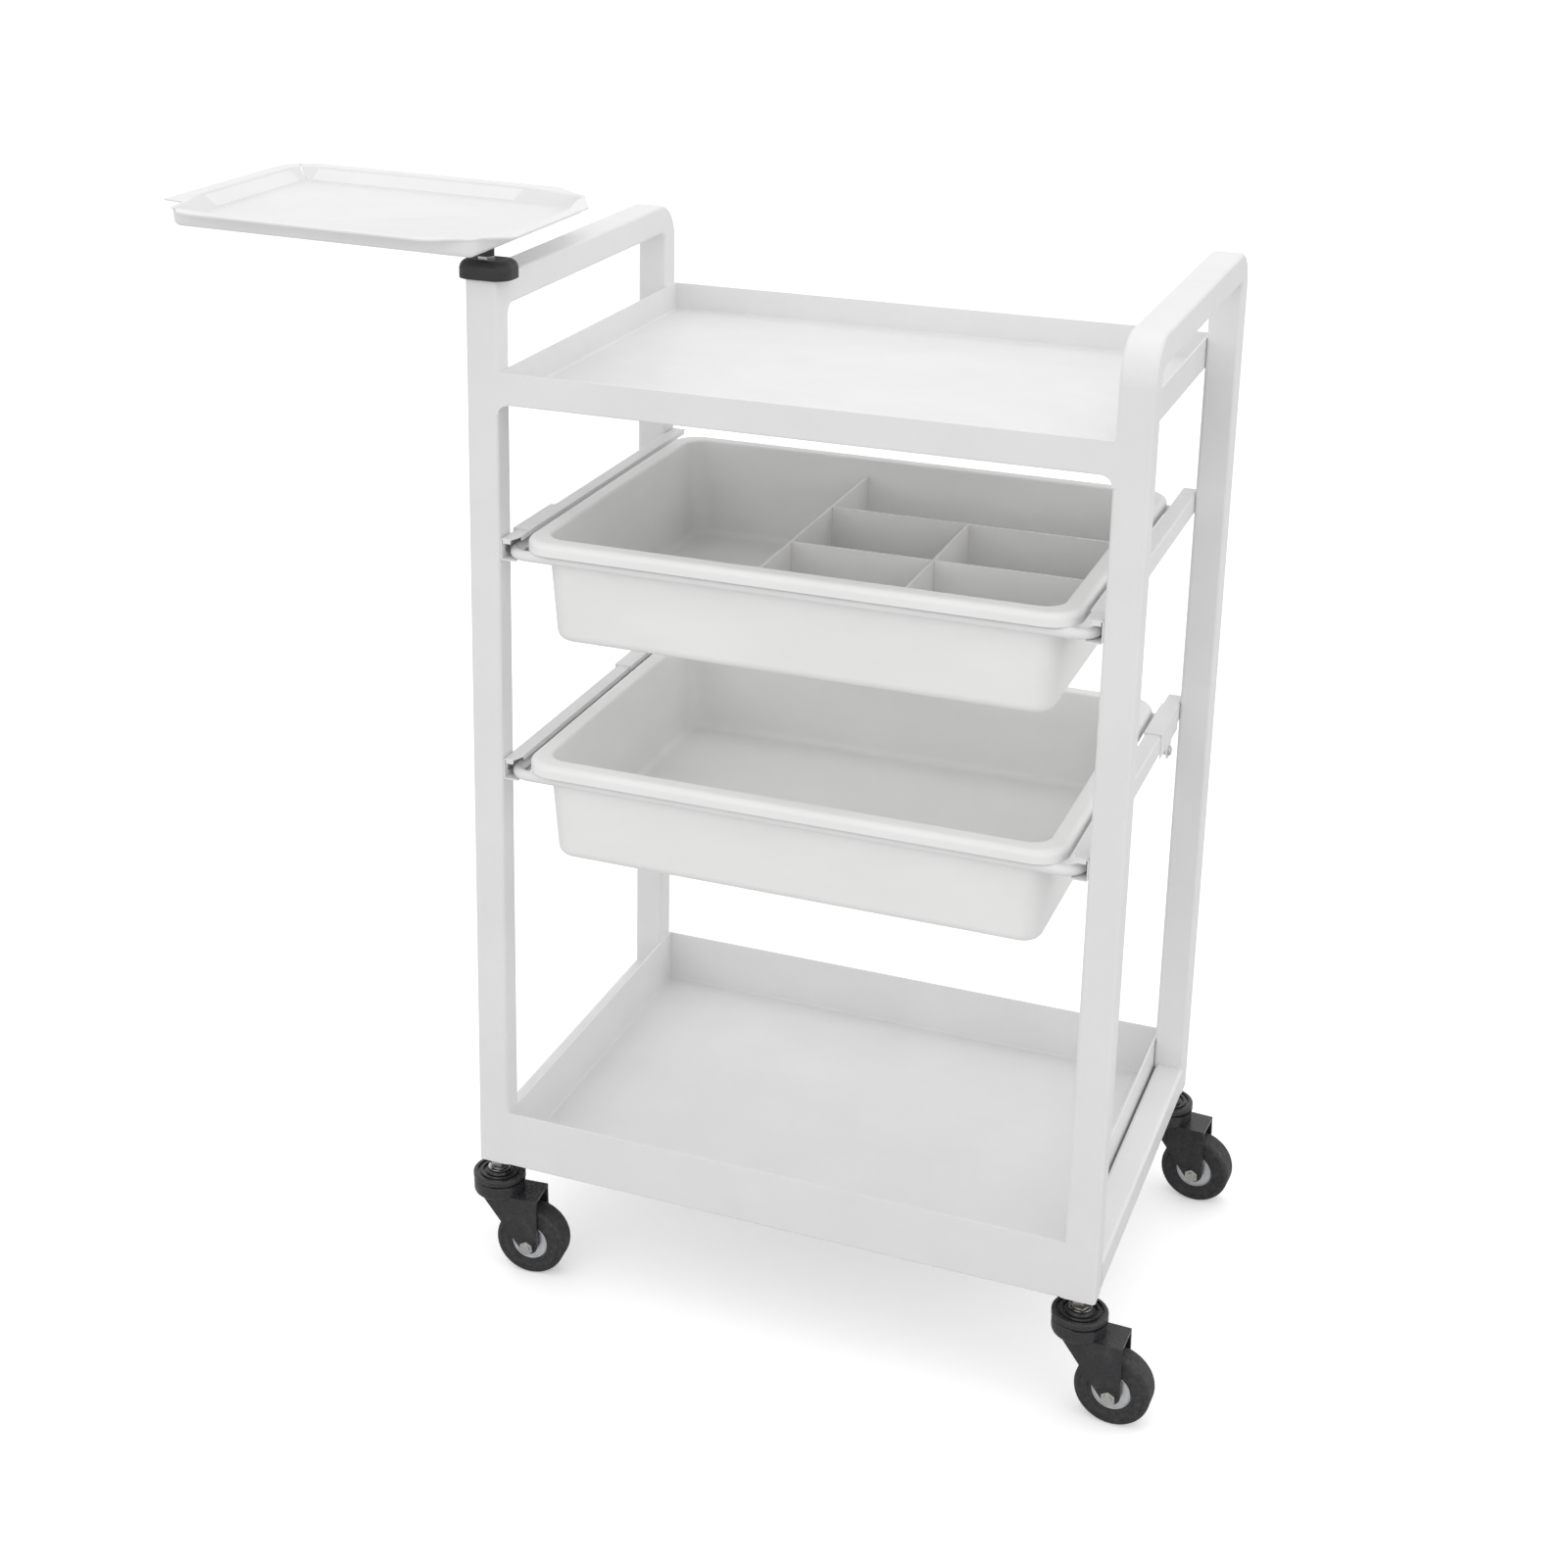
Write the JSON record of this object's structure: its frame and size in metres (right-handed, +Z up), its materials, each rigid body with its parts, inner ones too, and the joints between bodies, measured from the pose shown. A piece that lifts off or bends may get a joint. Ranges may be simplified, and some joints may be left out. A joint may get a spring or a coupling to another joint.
{
  "type": "rolling salon trolley",
  "caption": "Rolling cart with inverted-U tube side frames, a shallow top tray, lift-out bins on sliding bar carriers, a deep bottom tray, a swivelling side tray and swivel casters.",
  "frame": {"origin": "middle of the whole trolley's footprint on the floor, side tray and casters included", "axes": "+Z up; -Y is the front, the way the drawers pull out; +X is the trolley's right-hand side as seen from the front, and the side tray is at -X"},
  "size_m": [0.7923, 0.3986, 0.852],
  "materials": {
    "white_powder_coat": "satin powder coat",
    "bin_plastic": "fine moulded texture",
    "divider_plastic": "fine moulded texture",
    "black_plastic": "satin",
    "black_painted_steel": "satin",
    "black_rubber": "smooth",
    "grey_hub_plastic": "satin",
    "zinc_plated_steel": "bright zinc"
  },
  "bodies": {
    "trolley": {"side_frame_left": "white_powder_coat", "side_frame_right": "white_powder_coat", "lower_side_rail_left": "white_powder_coat", "lower_side_rail_right": "white_powder_coat", "top_tray": "white_powder_coat", "bottom_tray": "white_powder_coat", "leg_plugs": "black_plastic", "runner_upper_left": "white_powder_coat", "runner_upper_right": "white_powder_coat", "runner_lower_left": "white_powder_coat", "runner_lower_right": "white_powder_coat", "runner_clip_upper_left": "white_powder_coat", "runner_clip_upper_right": "white_powder_coat", "runner_clip_lower_left": "white_powder_coat", "runner_clip_lower_right": "white_powder_coat", "runner_rivets": "zinc_plated_steel", "clip_screws": "zinc_plated_steel", "clip_nuts": "zinc_plated_steel", "swivel_cap": "black_plastic", "swivel_stud": "zinc_plated_steel", "stud_lock_nut": "zinc_plated_steel", "caster_stem_front_left": "zinc_plated_steel", "caster_stem_front_right": "zinc_plated_steel", "caster_stem_rear_left": "zinc_plated_steel", "caster_stem_rear_right": "zinc_plated_steel", "caster_race_front_left": "black_painted_steel", "caster_race_front_right": "black_painted_steel", "caster_race_rear_left": "black_painted_steel", "caster_race_rear_right": "black_painted_steel"},
    "side_tray": {"instrument_tray": "white_powder_coat", "tray_boss": "black_plastic"},
    "upper_drawer": {"carrier_upper": "white_powder_coat"},
    "lower_drawer": {"carrier_lower": "white_powder_coat"},
    "upper_bin": {"bin_upper": "bin_plastic", "main_divider": "divider_plastic", "rear_cross_divider": "divider_plastic", "front_cross_divider": "divider_plastic", "short_divider": "divider_plastic"},
    "lower_bin": {"bin_lower": "bin_plastic"},
    "caster_front_left": {"caster_fork_front_left": "black_painted_steel", "caster_axle_bolt_front_left": "zinc_plated_steel", "caster_axle_nut_front_left": "zinc_plated_steel"},
    "wheel_front_left": {"caster_tyre_front_left": "black_rubber", "caster_hub_front_left": "grey_hub_plastic"},
    "caster_front_right": {"caster_fork_front_right": "black_painted_steel", "caster_axle_bolt_front_right": "zinc_plated_steel", "caster_axle_nut_front_right": "zinc_plated_steel"},
    "wheel_front_right": {"caster_tyre_front_right": "black_rubber", "caster_hub_front_right": "grey_hub_plastic"},
    "caster_rear_left": {"caster_fork_rear_left": "black_painted_steel", "caster_axle_bolt_rear_left": "zinc_plated_steel", "caster_axle_nut_rear_left": "zinc_plated_steel"},
    "wheel_rear_left": {"caster_tyre_rear_left": "black_rubber", "caster_hub_rear_left": "grey_hub_plastic"},
    "caster_rear_right": {"caster_fork_rear_right": "black_painted_steel", "caster_axle_bolt_rear_right": "zinc_plated_steel", "caster_axle_nut_rear_right": "zinc_plated_steel"},
    "wheel_rear_right": {"caster_tyre_rear_right": "black_rubber", "caster_hub_rear_right": "grey_hub_plastic"}
  },
  "joints": [
    {"name": "side_tray_swivel", "type": "hinge", "parent": "trolley", "child": "side_tray", "pos_m": [-0.1367, -0.1408, 0.838], "axis": [0, 0, 1], "continuous": true},
    {"name": "upper_drawer_slide", "type": "slide", "parent": "trolley", "child": "upper_drawer", "axis": [0, -1, 0], "range_m": [0, 0.2]},
    {"name": "lower_drawer_slide", "type": "slide", "parent": "trolley", "child": "lower_drawer", "axis": [0, -1, 0], "range_m": [0, 0.2]},
    {"name": "upper_bin_lift", "type": "slide", "parent": "upper_drawer", "child": "upper_bin", "axis": [0, 0, 1], "range_m": [0, 0.075]},
    {"name": "lower_bin_lift", "type": "slide", "parent": "lower_drawer", "child": "lower_bin", "axis": [0, 0, 1], "range_m": [0, 0.075]},
    {"name": "caster_swivel_front_left", "type": "hinge", "parent": "trolley", "child": "caster_front_left", "pos_m": [-0.1367, -0.1408, 0.07], "axis": [0, 0, 1], "continuous": true},
    {"name": "wheel_roll_front_left", "type": "hinge", "parent": "caster_front_left", "child": "wheel_front_left", "pos_m": [-0.10781, -0.13827, 0.0285], "axis": [-0.0872, 0.9962, 0], "continuous": true},
    {"name": "caster_swivel_front_right", "type": "hinge", "parent": "trolley", "child": "caster_front_right", "pos_m": [0.3383, -0.1408, 0.07], "axis": [0, 0, 1], "continuous": true},
    {"name": "wheel_roll_front_right", "type": "hinge", "parent": "caster_front_right", "child": "wheel_front_right", "pos_m": [0.36728, -0.14181, 0.0285], "axis": [0.0349, 0.9994, 0], "continuous": true},
    {"name": "caster_swivel_rear_left", "type": "hinge", "parent": "trolley", "child": "caster_rear_left", "pos_m": [-0.1367, 0.1782, 0.07], "axis": [0, 0, 1], "continuous": true},
    {"name": "wheel_roll_rear_left", "type": "hinge", "parent": "caster_rear_left", "child": "wheel_rear_left", "pos_m": [-0.10774, 0.17972, 0.0285], "axis": [-0.0523, 0.9986, 0], "continuous": true},
    {"name": "caster_swivel_rear_right", "type": "hinge", "parent": "trolley", "child": "caster_rear_right", "pos_m": [0.3383, 0.1782, 0.07], "axis": [0, 0, 1], "continuous": true},
    {"name": "wheel_roll_rear_right", "type": "hinge", "parent": "caster_rear_right", "child": "wheel_rear_right", "pos_m": [0.36723, 0.17618, 0.0285], "axis": [0.0698, 0.9976, 0], "continuous": true}
  ]
}
